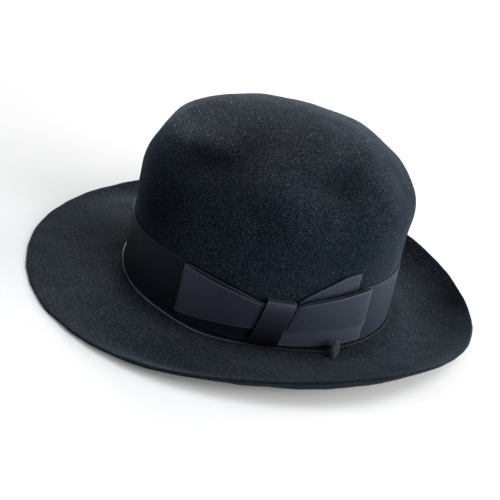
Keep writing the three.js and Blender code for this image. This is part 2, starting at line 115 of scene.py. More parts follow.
@dataclass(frozen=True)
class Fibre:
    """One kind of short fibre in the felt.

    Attributes:
        strand: The noise that the fibres are drawn from.
        width: A fibre's width as a share of its length.
        shown: The noise where a fibre starts to show and where it shows in full.
    """

    strand: Grain
    width: float
    shown: Span


class Graph:
    """The node tree of one new material, with short ways to add and join its nodes."""

    def __init__(self, name: str) -> None:
        """Starts a material with a Principled shader.

        Args:
            name: The material's name.
        """
        self.material = bpy.data.materials.new(name)
        self.material.use_nodes = True
        self.tree = self.material.node_tree
        self.shader = self.tree.nodes["Principled BSDF"]

    def add(self, kind: str, **settings: object) -> bpy.types.Node:
        """Adds a node.

        Args:
            kind: The node's type, without its ShaderNode prefix.
            **settings: Values of the node's own properties.

        Returns:
            The new node.
        """
        node = self.tree.nodes.new("ShaderNode" + kind)
        for key, value in settings.items():
            setattr(node, key, value)
        return node

    def join(self, source: Socket, target: Socket) -> None:
        """Links an output to an input."""
        self.tree.links.new(source, target)

    def place(self) -> Socket:
        """Reads the place on the piece."""
        return self.add("TexCoord").outputs["Object"]

    def read(self, name: str) -> Socket:
        """Reads one of the piece's own attributes."""
        return self.add("Attribute", attribute_name=name).outputs["Fac"]

    def split(self, vector: Socket) -> bpy.types.Node:
        """Splits a vector.

        Args:
            vector: The vector.

        Returns:
            A node whose outputs are its X, Y and Z.
        """
        node = self.add("SeparateXYZ")
        self.join(vector, node.inputs[0])
        return node

    def math(self, operation: str, *values: Value) -> Socket:
        """Adds a Math node.

        Args:
            operation: The node's operation.
            *values: What it works on, each a socket or a number.

        Returns:
            The node's output.
        """
        node = self.add("Math", operation=operation)
        for place, value in enumerate(values):
            if isinstance(value, Socket):
                self.join(value, node.inputs[place])
            else:
                node.inputs[place].default_value = value
        return node.outputs[0]

    def times(self, first: Value, second: Value) -> Socket:
        """Multiplies two values."""
        return self.math("MULTIPLY", first, second)

    def plus(self, first: Value, second: Value) -> Socket:
        """Adds two values."""
        return self.math("ADD", first, second)

    def most(self, first: Value, second: Value) -> Socket:
        """Takes the larger of two values."""
        return self.math("MAXIMUM", first, second)

    def noise(self, grain: Grain, where: Socket) -> Socket:
        """Adds a Noise Texture.

        Args:
            grain: Its pattern.
            where: The coordinates that it reads.

        Returns:
            Its height, from 0 to 1.
        """
        node = self.add("TexNoise")
        node.inputs["Scale"].default_value = grain.scale
        node.inputs["Detail"].default_value = grain.detail
        node.inputs["Roughness"].default_value = grain.roughness
        self.join(where, node.inputs["Vector"])
        return node.outputs["Fac"]

    def band(self, source: Socket, span: Span, step: Step = Step.SMOOTH, low: float = 0.0) -> Socket:
        """Turns a value into a step up to 1.

        Args:
            source: The value.
            span: Where the step starts and where it ends.
            step: How it rises.
            low: How high it is before it starts.

        Returns:
            The step's output.
        """
        node = self.add("MapRange", interpolation_type=step.value)
        self.join(source, node.inputs["Value"])
        node.inputs["From Min"].default_value = span[0]
        node.inputs["From Max"].default_value = span[1]
        node.inputs["To Min"].default_value = low
        return node.outputs["Result"]

    def mix(self, amount: Value, first: Paint, second: Paint) -> Socket:
        """Mixes two colours.

        Args:
            amount: A socket or a share of the second colour.
            first: A colour or a socket.
            second: A colour or a socket.

        Returns:
            The mixed colour's output.
        """
        node = self.add("Mix", data_type="RGBA")
        for name, value in (("Factor", amount), ("A", first), ("B", second)):
            socket = node.inputs[name]
            if isinstance(value, Socket):
                self.join(value, socket)
            elif isinstance(value, float):
                socket.default_value = value
            else:
                socket.default_value = (*value, 1.0)
        return node.outputs["Result"]

    def paint(self, colour: Socket, tone: Socket) -> None:
        """Gives the shader its colour.

        Args:
            colour: The colour.
            tone: How light it is, where 1 leaves it as it is.
        """
        shade = self.add("VectorMath", operation="SCALE")
        self.join(colour, shade.inputs[0])
        self.join(tone, shade.inputs["Scale"])
        self.join(shade.outputs["Vector"], self.shader.inputs["Base Color"])

    def set_colour(self, name: str, colour: Colour) -> None:
        """Sets one of the shader's colours."""
        self.shader.inputs[name].default_value = (*colour, 1.0)

    def bump(self, height: bpy.types.NodeSocket, depth: float, strength: float) -> None:
        """Gives the shader a bump.

        Args:
            height: The relief from 0 to 1.
            depth: How deep a relief of 1 is.
            strength: The share of it that shows.
        """
        node = self.add("Bump")
        node.inputs["Distance"].default_value = depth
        node.inputs["Strength"].default_value = strength
        self.join(height, node.inputs["Height"])
        self.join(node.outputs["Normal"], self.shader.inputs["Normal"])

    def gloss(
        self,
        roughness: float,
        specular: float,
        sheen: float = 0.0,
        sheen_roughness: float = 0.5,
        tint: Colour = WHITE,
    ) -> None:
        """Sets how the surface shines.

        Args:
            roughness: The shader's roughness.
            specular: Its specular level.
            sheen: The weight of its sheen.
            sheen_roughness: The sheen's roughness.
            tint: The sheen's tint.
        """
        self.shader.inputs["Roughness"].default_value = roughness
        self.shader.inputs["Specular IOR Level"].default_value = specular
        self.shader.inputs["Sheen Weight"].default_value = sheen
        self.shader.inputs["Sheen Roughness"].default_value = sheen_roughness
        self.set_colour("Sheen Tint", tint)


@dataclass(frozen=True)
class FeltFinish:
    """Napped blue-black felt with a fine grain, short fibres, light flecks of dust and lint, and painted
    light on the crown's top.

    Its relief attribute, from 0 in a hollow to 1 on a ridge, sets painted shade in the hollows and painted
    light on the ridges, its nap attribute patches of painted light and shade, a patch of dust and painted
    shade by the band's foot, its upward attribute where up-facing felt takes dust and painted light from
    above, and its cut attribute is 1 on the brim's cut edge and underside, which take a browner colour and
    painted shade.
    """

    deep: Colour = (0.0004, 0.0014, 0.0027)
    light: Colour = (0.0052, 0.0106, 0.0176)
    fleck: Colour = (0.124, 0.136, 0.154)
    # Up-facing felt takes this lighter, warmer colour: dust, and painted light from above.
    dust: Colour = (0.0165, 0.0155, 0.0175)
    warm: Colour = (0.0064, 0.0072, 0.0108)
    edge: Colour = (0.0052, 0.0042, 0.0038)
    hollow_shade: float = 0.55
    ridge_light: float = 1.38
    cut_shade_depth: float = 0.6
    grain: Grain = Grain(620, 5, 0.72)
    grain_shown: Span = (0.36, 0.68)
    edge_shown: Span = (0.4, 0.66)
    cloud: Grain = Grain(38, 3, 0.6)
    patch: Grain = Grain(17, 2, 0.5)
    patch_shown: Span = (0.45, 0.72)
    patch_share: float = 0.35
    upward_light_and_dust_share: float = 0.32
    dust_and_light_rise: Span = (0.105, 0.14)
    dust_and_light_run: Span = (0.01, -0.1)
    dust_and_light_rear: float = 0.25
    dust_and_light_clouds: Span = (0.6, 1.25)
    painted_top_light_share: float = 0.2
    fibre: Fibre = Fibre(Grain(1900, 1, 0.4), 0.28, (0.66, 0.78))
    fibre_share: float = 0.6
    fibre_turns: tuple[Point, ...] = ((20, 35, 10), (75, -20, 50), (-40, 60, -65))
    lint: Fibre = Fibre(Grain(1150, 1, 0.4), 0.16, (0.69, 0.76))
    lint_least: float = 0.12
    lint_in_dust_and_light: float = 2.2
    speck: Grain = Grain(1400, 2, 0.6)
    speck_shown: Span = (0.61, 0.72)
    speck_clouds: Span = (0.28, 0.75)
    speck_share: float = 0.95
    roughness: float = 0.95
    specular: float = 0.03
    sheen: float = 0.13
    sheen_roughness: float = 0.42
    sheen_tint: Colour = (0.6, 0.81, 1.0)
    shine: Colour = (0.35, 0.72, 1.0)
    grain_height: float = 0.7
    fibre_height: float = 0.3
    nap_depth: float = 0.0009
    nap_strength: float = 0.75

    def build(self) -> bpy.types.Material:
        """Makes the material.

        Returns:
            The felt.
        """
        graph = Graph("felt")
        where = graph.place()
        grain = graph.noise(self.grain, where)
        cloud = graph.noise(self.cloud, where)
        patch = graph.band(graph.noise(self.patch, where), self.patch_shown)
        relief = graph.read("relief")
        cut = graph.read("cut")
        fibres = self.fibres(graph, where, self.fibre)
        dust_and_light = self.dust_and_light(graph, where, graph.plus(cloud, relief))
        flecks = self.flecks(graph, where, graph.plus(cloud, dust_and_light), dust_and_light, fibres)
        colour = graph.mix(graph.band(grain, self.grain_shown), self.deep, self.light)
        colour = graph.mix(graph.times(patch, self.patch_share), colour, self.warm)
        # Up-facing felt is made lighter and warmer: dust, and painted light from above.
        colour = graph.mix(graph.times(graph.read("upward"), self.upward_light_and_dust_share), colour, self.dust)
        colour = graph.mix(flecks, colour, self.fleck)
        # The cut edge and underside take a browner, darker colour.
        edge = graph.mix(graph.band(grain, self.edge_shown), self.deep, self.edge)
        colour = graph.mix(cut, colour, edge)
        # Painted shade in the crown's hollows and painted light on its ridges, from the relief attribute.
        relief_light_and_shade = graph.plus(graph.times(relief, self.ridge_light - self.hollow_shade), self.hollow_shade)
        # Painted shade on the brim's cut edge and underside.
        cut_shade = graph.math("SUBTRACT", 1.0, graph.times(cut, self.cut_shade_depth))
        # The nap attribute holds patches of painted light and shade, a patch of dust, and painted shade on
        # the brim by the band's foot.
        tone = graph.times(graph.times(relief_light_and_shade, cut_shade), graph.read("nap"))
        graph.paint(colour, tone)
        graph.gloss(self.roughness, self.specular, self.sheen, self.sheen_roughness, self.sheen_tint)
        graph.set_colour("Specular Tint", self.shine)
        # The sheen weight follows the tone, with its painted light and shade.
        graph.join(graph.times(tone, self.sheen), graph.shader.inputs["Sheen Weight"])
        nap = graph.plus(graph.times(grain, self.grain_height), graph.times(fibres, self.fibre_height))
        graph.bump(nap, self.nap_depth, self.nap_strength)
        return graph.material

    def dust_and_light(self, graph: Graph, where: Socket, clouds: Socket) -> Socket:
        """Dust and painted light on the top of the crown, most of all towards its front.

        Args:
            graph: The felt's nodes.
            where: Its coordinates.
            clouds: The large pattern that breaks it up.

        Returns:
            How much dust and painted top light the felt has, from 0 to 1.
        """
        place = graph.split(where)
        high = graph.band(place.outputs["Z"], self.dust_and_light_rise)
        ahead = graph.band(place.outputs["Y"], self.dust_and_light_run, Step.EVEN, self.dust_and_light_rear)
        return graph.times(graph.times(high, ahead), graph.band(clouds, self.dust_and_light_clouds))

    def flecks(self, graph: Graph, where: Socket, clouds: Socket, dust_and_light: Socket, fibres: Socket) -> Socket:
        """Fibres, specks and lint that catch the light, and a haze of painted light on the crown's top.

        Args:
            graph: The felt's nodes.
            where: Its coordinates.
            clouds: The large pattern that the specks follow.
            dust_and_light: How much dust and painted top light the felt has.
            fibres: Where a fibre shows.

        Returns:
            How much of the light fleck shows.
        """
        lint = self.fibres(graph, where, self.lint)
        lint = graph.times(lint, graph.plus(graph.times(dust_and_light, self.lint_in_dust_and_light), self.lint_least))
        speck = graph.band(graph.noise(self.speck, where), self.speck_shown)
        speck = graph.times(speck, graph.band(clouds, self.speck_clouds))
        shown = graph.most(graph.times(fibres, self.fibre_share), graph.times(speck, self.speck_share))
        # The haze is painted light, making the crown's top paler.
        return graph.plus(graph.most(shown, lint), graph.times(dust_and_light, self.painted_top_light_share))

    def fibres(self, graph: Graph, where: Socket, fibre: Fibre) -> Socket:
        """Short fibres that lie three ways.

        Args:
            graph: The felt's nodes.
            where: Its coordinates.
            fibre: What one fibre is like.

        Returns:
            Where a fibre shows, from 0 to 1.
        """
        total: Value = 0.0
        for turn in self.fibre_turns:
            lay = graph.add("Mapping")
            lay.inputs["Rotation"].default_value = [math.radians(angle) for angle in turn]
            lay.inputs["Scale"].default_value = (fibre.width, 1.0, 1.0)
            graph.join(where, lay.inputs["Vector"])
            strands = graph.noise(fibre.strand, lay.outputs["Vector"])
            total = graph.most(graph.band(strands, fibre.shown), total)
        return total


@dataclass(frozen=True)
class RibbonFinish:
    """Grosgrain ribbon: ribs across it, and a smooth paler selvage along each edge.

    The ribs follow the piece's UV map, whose unit is one rib, the selvage its edge_distance attribute, and
    its tone attribute holds painted light and shade, which scale its colour, specular level and sheen.
    """

    slot: Finish
    groove: Colour = (0.0024, 0.003, 0.0053)
    rib: Colour = (0.0094, 0.0114, 0.0204)
    selvage: Colour = (0.017, 0.021, 0.03)
    thread: Grain = Grain(2600, 2, 0.6)
    slub: Grain = Grain(120, 2, 0.6)
    slub_shift: float = 0.25
    rib_height: float = 0.8
    thread_height: float = 0.35
    rib_shown: Span = (0.15, 0.95)
    selvage_fade: Span = (0.000525, 0.000875)
    rib_depth: float = 0.00028
    rib_strength: float = 0.8
    roughness: float = 0.52
    specular: float = 0.37
    sheen: float = 0.125
    sheen_roughness: float = 0.35
    shine: Colour = (0.72, 0.8, 1.0)

    def build(self) -> bpy.types.Material:
        """Makes the material.

        Returns:
            The ribbon.
        """
        graph = Graph(self.slot.value)
        across = graph.split(graph.add("UVMap", uv_map="ribs").outputs["UV"])
        where = graph.place()
        thread = graph.noise(self.thread, where)
        slub = graph.noise(self.slub, where)
        shaken = graph.plus(across.outputs["X"], graph.times(slub, self.slub_shift))
        wave = graph.math("SINE", graph.times(shaken, 2 * math.pi))
        wave = graph.plus(graph.times(wave, 0.5), 0.5)
        height = graph.plus(graph.times(wave, self.rib_height), graph.times(thread, self.thread_height))
        plain = graph.band(graph.read("edge_distance"), self.selvage_fade)
        colour = graph.mix(graph.band(height, self.rib_shown), self.groove, self.rib)
        # The tone attribute is painted light and shade; it scales the colour, and the specular level and
        # sheen as painted highlight.
        tone = graph.read("tone")
        graph.paint(graph.mix(plain, self.selvage, colour), tone)
        graph.gloss(self.roughness, self.specular, self.sheen, self.sheen_roughness, self.shine)
        graph.set_colour("Specular Tint", self.shine)
        graph.join(graph.times(tone, self.specular), graph.shader.inputs["Specular IOR Level"])
        graph.join(graph.times(tone, self.sheen), graph.shader.inputs["Sheen Weight"])
        graph.bump(graph.times(height, plain), self.rib_depth, self.rib_strength)
        return graph.material


@dataclass(frozen=True)
class ThreadFinish:
    """Dark thread or cloth with a fine grain, for the cord and the button.

    Its tone attribute is painted light and shade: how light it is made.
    """

    slot: Finish
    deep: Colour = (0.0026, 0.0038, 0.0072)
    light: Colour = (0.014, 0.0185, 0.029)
    grain: Grain = Grain(1800, 3, 0.6)
    grain_shown: Span = (0.35, 0.65)
    grain_depth: float = 0.00015
    grain_strength: float = 0.7
    roughness: float = 0.7
    specular: float = 0.16
    sheen: float = 0.2
    sheen_roughness: float = 0.4
    sheen_tint: Colour = (0.7, 0.82, 1.0)

    def build(self) -> bpy.types.Material:
        """Makes the material.

        Returns:
            The thread or cloth.
        """
        graph = Graph(self.slot.value)
        grain = graph.noise(self.grain, graph.place())
        colour = graph.mix(graph.band(grain, self.grain_shown), self.deep, self.light)
        graph.paint(colour, graph.read("tone"))
        graph.gloss(self.roughness, self.specular, self.sheen, self.sheen_roughness, self.sheen_tint)
        graph.bump(grain, self.grain_depth, self.grain_strength)
        return graph.material


@dataclass(frozen=True)
class BackdropFinish:
    """A plain pale backdrop, as bright as the floor."""

    colour: Colour = (0.94, 0.945, 0.95)
    strength: float = 1.0
    roughness: float = 1.0
    specular: float = 0.0

    def build(self) -> bpy.types.Material:
        """Makes the material.

        Returns:
            The backdrop's material.
        """
        graph = Graph("studio_backdrop")
        graph.set_colour("Base Color", BLACK)
        graph.set_colour("Emission Color", self.colour)
        graph.shader.inputs["Emission Strength"].default_value = self.strength
        graph.gloss(self.roughness, self.specular)
        return graph.material


@dataclass(frozen=True)
class FloorFinish:
    """A plain pale studio floor."""

    colour: Colour = (0.91, 0.91, 0.91)
    roughness: float = 0.9
    specular: float = 0.1

    def build(self) -> bpy.types.Material:
        """Makes the material.

        Returns:
            The floor's material.
        """
        graph = Graph("studio_floor")
        graph.set_colour("Base Color", self.colour)
        graph.gloss(self.roughness, self.specular)
        return graph.material


def only(piece: bpy.types.Object) -> None:
    """Deselects everything, then selects one object and makes it active.

    Args:
        piece: The object.
    """
    if bpy.context.object and bpy.context.object.mode != "OBJECT":
        bpy.ops.object.mode_set(mode="OBJECT")
    bpy.ops.object.select_all(action="DESELECT")
    piece.select_set(True)
    bpy.context.view_layer.objects.active = piece


def merged_copy(node: bpy.types.Object, name: str) -> bpy.types.Object:
    """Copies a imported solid's mesh and closes its loose triangles into clean quads.

    Args:
        node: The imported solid.
        name: The new piece's name.

    Returns:
        The new piece, at the origin.
    """
    mesh = node.data.copy()
    mesh.materials.clear()
    piece = bpy.data.objects.new(name, mesh)
    bpy.context.scene.collection.objects.link(piece)
    only(piece)
    if mesh.has_custom_normals:
        bpy.ops.mesh.customdata_custom_splitnormals_clear()
    bpy.ops.object.mode_set(mode="EDIT")
    bpy.ops.mesh.select_all(action="SELECT")
    bpy.ops.mesh.remove_doubles(threshold=MERGE_DISTANCE)
    bpy.ops.mesh.tris_convert_to_quads(face_threshold=QUAD_ANGLE, shape_threshold=QUAD_ANGLE)
    bpy.ops.mesh.select_all(action="DESELECT")
    bpy.ops.object.mode_set(mode="OBJECT")
    return piece


def subdivide(piece: bpy.types.Object, levels: int) -> None:
    """Smooths a piece with an applied subdivision.

    Args:
        piece: The piece.
        levels: How many times it is divided.
    """
    only(piece)
    modifier = piece.modifiers.new("subdivision", "SUBSURF")
    modifier.levels = levels
    modifier.render_levels = levels
    bpy.ops.object.modifier_apply(modifier=modifier.name)


def crease_corners(piece: bpy.types.Object, angle: float) -> None:
    """Keeps the corners of a piece sharp in its subdivision.

    Args:
        piece: The piece.
        angle: The least angle of a corner, in degrees.
    """
    only(piece)
    bpy.ops.object.mode_set(mode="EDIT")
    bpy.ops.mesh.select_mode(type="EDGE")
    bpy.ops.mesh.select_all(action="DESELECT")
    bpy.ops.mesh.edges_select_sharp(sharpness=math.radians(angle))
    bpy.ops.transform.edge_crease(value=1.0)
    bpy.ops.mesh.select_all(action="DESELECT")
    bpy.ops.object.mode_set(mode="OBJECT")


def points_of(piece: bpy.types.Object) -> np.ndarray:
    """Reads a piece's vertices.

    Args:
        piece: The piece.

    Returns:
        One row of x, y and z for each vertex.
    """
    points = np.empty(len(piece.data.vertices) * 3)
    piece.data.vertices.foreach_get("co", points)
    return points.reshape(-1, 3)


def distances(points: np.ndarray, node: bpy.types.Object) -> np.ndarray:
    """Measures each point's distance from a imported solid.

    Args:
        points: The points.
        node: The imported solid.

    Returns:
        One distance for each point.
    """
    corners = [vertex.co for vertex in node.data.vertices]
    solid = BVHTree.FromPolygons(corners, [face.vertices for face in node.data.polygons])
    return np.array([solid.find_nearest(point)[3] for point in points])


def mark_points(piece: bpy.types.Object, name: str, values: np.ndarray) -> None:
    """Notes a value at each vertex of a piece, for its material to read.

    Args:
        piece: The piece.
        name: The attribute's name.
        values: One value for each vertex.
    """
    attribute = piece.data.attributes.new(name, "FLOAT", "POINT")
    attribute.data.foreach_set("value", values)


def dress(piece: bpy.types.Object, material: bpy.types.Material, node: str) -> None:
    """Gives a finished piece its material and its place in the frame.

    Args:
        piece: The piece.
        material: Its material.
        node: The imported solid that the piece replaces.
    """
    piece.data.materials.clear()
    piece.data.materials.append(material)
    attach(piece, BODY)
    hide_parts(node)
    LOG.info("%s: %d faces", piece.name, len(piece.data.polygons))


@dataclass(frozen=True)
class LightShadeAndDustPatch:
    """A patch where the felt is made lighter or darker: most are painted light and painted shade, and the one
    on the crown's front shoulder is dust.

    Attributes:
        place: Its middle.
        reach: How far from there it fades to a third.
        tone: How light it is at its middle, where 1 is the plain felt.
    """

    place: Point
    reach: float
    tone: float


@dataclass
class FeltBody:
    """Crown and brim, one soft felt with a slightly uneven face."""

    node: bpy.types.Object
    band: bpy.types.Object
    levels: int = 2
    ripple: float = 0.0006
    ripple_spacing: float = 0.021
    ripple_layers: tuple[float, float, int] = (1.0, 2.0, 2)
    grain: float = 0.00009
    grain_spacing: float = 0.0022
    relief_passes: int = 110
    relief_low: float = -0.0025
    relief_high: float = 0.0076
    relief_base: float = 0.0036
    relief_from: float = 0.055
    cut_facing: float = 0.35
    brim_top: float = 0.035
    foot_shade_reach: float = 0.016
    foot_shade: float = 0.5
    patches: tuple[LightShadeAndDustPatch, ...] = (
        # Front of the crown, towards the bow: painted shade
        LightShadeAndDustPatch((0.04, -0.087, 0.072), 0.036, 0.36),
        # Upper slope between the dents: painted shade
        LightShadeAndDustPatch((0.047, -0.036, 0.135), 0.022, 0.5),
        # Upper slope over the bulge: painted shade
        LightShadeAndDustPatch((0.045, 0.002, 0.137), 0.02, 0.68),
        # Middle of the crown's side: painted shade
        LightShadeAndDustPatch((0.076, -0.018, 0.098), 0.026, 0.74),
        # Bulge between the dents: painted light
        LightShadeAndDustPatch((0.063, 0.012, 0.118), 0.02, 1.65),
        # Front shoulder of the crown: dust, lighter
        LightShadeAndDustPatch((0.022, -0.082, 0.125), 0.018, 1.6),
        # Crown's side, towards the rear: painted shade
        LightShadeAndDustPatch((0.07, 0.06, 0.085), 0.025, 0.82),
        # Front brim, far side: painted light
        LightShadeAndDustPatch((-0.1, -0.105, 0.003), 0.036, 1.9),
        # Front brim, bow side: painted light
        LightShadeAndDustPatch((0.04, -0.14, 0.003), 0.045, 1.25),
        # Brim before the bow: painted shade
        LightShadeAndDustPatch((0.105, -0.05, 0.003), 0.035, 0.8),
        # Rear brim, bow side: painted light
        LightShadeAndDustPatch((0.05, 0.09, 0.004), 0.036, 1.75),
        # Rear brim's roll: painted shade
        LightShadeAndDustPatch((-0.008, 0.17, 0.011), 0.028, 0.36),
    )

    def build(self) -> None:
        """Makes and dresses the felt."""
        piece = merged_copy(self.node, "felt_crown_and_brim")
        subdivide(piece, self.levels)
        self.mark_relief(piece)
        self.mark_painted_light(piece)
        self.press(piece)
        only(piece)
        bpy.ops.object.shade_smooth()
        dress(piece, FeltFinish().build(), self.node.name)

    def mark_relief(self, piece: bpy.types.Object) -> None:
        """Notes the crown's bulges and hollows, the brim's cut edge, and how far the face looks up.

        A bulge or hollow is what stands off a much smoothed copy.

        Args:
            piece: The felt.
        """
        points = points_of(piece)
        count = len(points)
        ends = np.empty(len(piece.data.edges) * 2, dtype=np.int64)
        piece.data.edges.foreach_get("vertices", ends)
        first, second = ends.reshape(-1, 2).T
        beside = np.bincount(ends, minlength=count)[:, None]
        smooth = points
        for _ in range(self.relief_passes):
            sums = [
                np.bincount(first, smooth[second, axis], count)
                + np.bincount(second, smooth[first, axis], count)
                for axis in range(3)
            ]
            smooth = np.stack(sums, axis=1) / beside
        normals = np.array([vertex.normal for vertex in piece.data.vertices])
        height = ((points - smooth) * normals).sum(axis=1)
        crown = np.clip((points[:, 2] - self.relief_from) / self.relief_from, 0, 1)
        height = self.relief_base + crown * (height - self.relief_base)
        share = np.clip((height - self.relief_low) / (self.relief_high - self.relief_low), 0, 1)
        # The felt's material paints shade into these hollows and light onto these bulges.
        mark_points(piece, "relief", share)
        # The material gives the cut edge and underside painted shade.
        cut = np.clip((self.cut_facing - normals[:, 2]) / self.cut_facing, 0, 1)
        mark_points(piece, "cut", cut * (points[:, 2] < self.brim_top))
        # Up-facing felt gets dust and painted light from above in the material.
        mark_points(piece, "upward", np.clip(normals[:, 2], 0, 1) ** 2)

    def mark_painted_light(self, piece: bpy.types.Object) -> None:
        """Notes where the felt is painted lighter or darker: patches of painted light and shade, a patch of
        dust, and painted shade on the brim by the band's foot.

        Args:
            piece: The felt.
        """
        points = points_of(piece)
        light_shade_and_dust = np.ones(len(points))
        for patch in self.patches:
            away = np.linalg.norm(points - patch.place, axis=1) / patch.reach
            light_shade_and_dust *= 1 + (patch.tone - 1) * np.exp(-(away**2))
        # Painted shade on the brim beside the band's foot.
        brim = np.flatnonzero(points[:, 2] < self.brim_top)
        clear = np.clip(distances(points[brim], self.band) / self.foot_shade_reach, 0, 1)
        light_shade_and_dust[brim] *= self.foot_shade + (1 - self.foot_shade) * clear
        mark_points(piece, "nap", light_shade_and_dust)

    def press(self, piece: bpy.types.Object) -> None:
        """Moves the face in and out a little, as hand-shaped felt is, but never below the floor.

        Args:
            piece: The felt.
        """
        normals = [vertex.normal.copy() for vertex in piece.data.vertices]
        for vertex, normal in zip(piece.data.vertices, normals):
            point = vertex.co
            wave = noise.fractal(point / self.ripple_spacing, *self.ripple_layers) * self.ripple
            fine = noise.noise(point / self.grain_spacing) * self.grain
            moved = point + normal * (wave + fine)
            moved.z = max(moved.z, 0.0)
            vertex.co = moved


@dataclass(frozen=True)
class RibbonLook:
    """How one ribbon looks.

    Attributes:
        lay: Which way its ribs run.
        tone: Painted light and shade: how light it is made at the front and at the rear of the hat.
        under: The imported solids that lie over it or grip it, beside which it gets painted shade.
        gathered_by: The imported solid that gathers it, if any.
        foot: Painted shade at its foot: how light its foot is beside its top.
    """

    lay: RibLay
    tone: Span
    under: tuple[str, ...] = ()
    gathered_by: str = ""
    foot: float = 1.0


@dataclass
class RibbonWork:
    """What all ribbons on the hat share.

    That is the line that they follow, their ribs, the painted shade beside a ribbon over them, and their
    small folds.
    """

    nodes: dict[str, bpy.types.Object]
    rib_pitch: float = 0.0018
    levels: int = 2
    corner_angle: float = 50.0
    tone_reach: Span = (-0.06, 0.085)
    tuck_reach: float = 0.0036
    tuck_shade: float = 0.12
    tuck_fade: float = 1.5
    gather_reach: float = 0.016
    gather_pitch: float = 0.0056
    gather_depth: float = 0.0006
    steps_round: int = 361
    batch: int = 500
    least_square: float = 1e-12
    places: np.ndarray = field(init=False)
    angles: np.ndarray = field(init=False)

    def __post_init__(self) -> None:
        """Measures the distance round the band against the angle round the hat."""
        points = points_of(self.nodes["hat_band"])
        low = points[points[:, 2] < np.median(points[:, 2])]
        angles = np.arctan2(low[:, 1], low[:, 0])
        order = np.argsort(angles)
        self.angles = np.linspace(-math.pi, math.pi, self.steps_round)
        spread = np.hypot(low[order, 0], low[order, 1])
        reach = np.interp(self.angles, angles[order], spread, period=2 * math.pi)
        line = np.stack([reach * np.cos(self.angles), reach * np.sin(self.angles)], axis=1)
        steps = np.hypot(*np.diff(line, axis=0).T)
        self.places = np.concatenate([[0.0], np.cumsum(steps)])

    def gather(self, piece: bpy.types.Object, node: str) -> None:
        """Raises small folds on a ribbon where another piece grips it.

        Args:
            piece: The ribbon.
            node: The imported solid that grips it.
        """
        points = points_of(piece)
        near = np.clip(1 - distances(points, self.nodes[node]) / self.gather_reach, 0, 1)
        fold = np.sin(points[:, 2] / self.gather_pitch * 2 * math.pi) * 0.5 + 0.5
        outward = points[:, :2] / np.linalg.norm(points[:, :2], axis=1)[:, None]
        points[:, :2] += outward * (self.gather_depth * fold * near**2)[:, None]
        piece.data.vertices.foreach_set("co", points.ravel())
        piece.data.update()

    def mark(self, piece: bpy.types.Object, look: RibbonLook) -> None:
        """Gives a ribbon its rib map, its tone of painted light and shade, and the distance of each point
        from its nearest edge.

        Args:
            piece: The ribbon.
            look: How it looks.
        """
        points = points_of(piece)
        along = np.interp(np.arctan2(points[:, 1], points[:, 0]), self.angles, self.places)
        turn = math.radians(look.lay.value)
        ribs = (along * math.cos(turn) + points[:, 2] * math.sin(turn)) / self.rib_pitch
        across = (points[:, 2] * math.cos(turn) - along * math.sin(turn)) / self.rib_pitch
        corners = np.empty(len(piece.data.loops), dtype=np.int64)
        piece.data.loops.foreach_get("vertex_index", corners)
        layer = piece.data.uv_layers.new(name="ribs")
        layer.data.foreach_set("uv", np.stack([ribs[corners], across[corners]], axis=1).ravel())
        mark_points(piece, "edge_distance", self.edge_distances(piece, points))
        # Painted shade towards the front of the hat and painted light towards the rear.
        tone = np.interp(points[:, 1], self.tone_reach, look.tone)
        # Painted shade towards its foot, where foot is below 1.
        tone *= np.interp(points[:, 2], (points[:, 2].min(), points[:, 2].max()), (look.foot, 1.0))
        # Painted shade beside the pieces that lie over it.
        for node in look.under:
            clear = np.clip(distances(points, self.nodes[node]) / self.tuck_reach, 0, 1)
            tone *= self.tuck_shade + (1 - self.tuck_shade) * clear**self.tuck_fade
        mark_points(piece, "tone", tone)

    def edge_distances(self, piece: bpy.types.Object, points: np.ndarray) -> np.ndarray:
        """Measures each point's distance from the nearest sharp edge.

        Args:
            piece: The ribbon.
            points: Its vertices.

        Returns:
            One distance for each vertex.
        """
        mesh = bmesh.new()
        mesh.from_mesh(piece.data)
        sharp = [
            [vertex.index for vertex in edge.verts]
            for edge in mesh.edges
            if edge.calc_face_angle(0.0) > math.radians(self.corner_angle)
        ]
        mesh.free()
        starts = points[[pair[0] for pair in sharp]]
        spans = points[[pair[1] for pair in sharp]] - starts
        squares = np.maximum((spans**2).sum(axis=1), self.least_square)
        nearest = np.empty(len(points))
        for first in range(0, len(points), self.batch):
            some = points[first : first + self.batch, None, :] - starts[None]
            share = np.clip((some * spans).sum(axis=2) / squares, 0, 1)
            away = np.linalg.norm(some - share[..., None] * spans, axis=2)
            nearest[first : first + self.batch] = away.min(axis=1)
        return nearest

    def ribbon(self, node: str, name: str, look: RibbonLook) -> bpy.types.Object:
        """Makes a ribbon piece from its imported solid.

        Args:
            node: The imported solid's name.
            name: The new piece's name.
            look: How it looks.

        Returns:
            The piece, marked for its material and shaded.
        """
        piece = merged_copy(self.nodes[node], name)
        crease_corners(piece, self.corner_angle)
        subdivide(piece, self.levels)
        if look.gathered_by:
            self.gather(piece, look.gathered_by)
        self.mark(piece, look)
        only(piece)
        bpy.ops.object.shade_smooth_by_angle(angle=math.radians(self.corner_angle))
        return piece


@dataclass
class HatBand:
    """The wide ribbon round the foot of the crown."""

    work: RibbonWork
    node: str = "hat_band"
    # Painted shade towards the front and painted light towards the rear, with painted shade beside the bow's
    # pieces.
    look: RibbonLook = RibbonLook(
        RibLay.UPRIGHT, (0.36, 1.2), ("bow_front_loop", "bow_rear_loop", "bow_rear_tail", "bow_knot")
    )
    finish: RibbonFinish = RibbonFinish(Finish.BAND, rib=(0.008, 0.0114, 0.0204), shine=(0.6, 0.79, 1.0))

    def build(self) -> None:
        """Makes and dresses the band."""
        piece = self.work.ribbon(self.node, "ribbon_band", self.look)
        dress(piece, self.finish.build(), self.node)


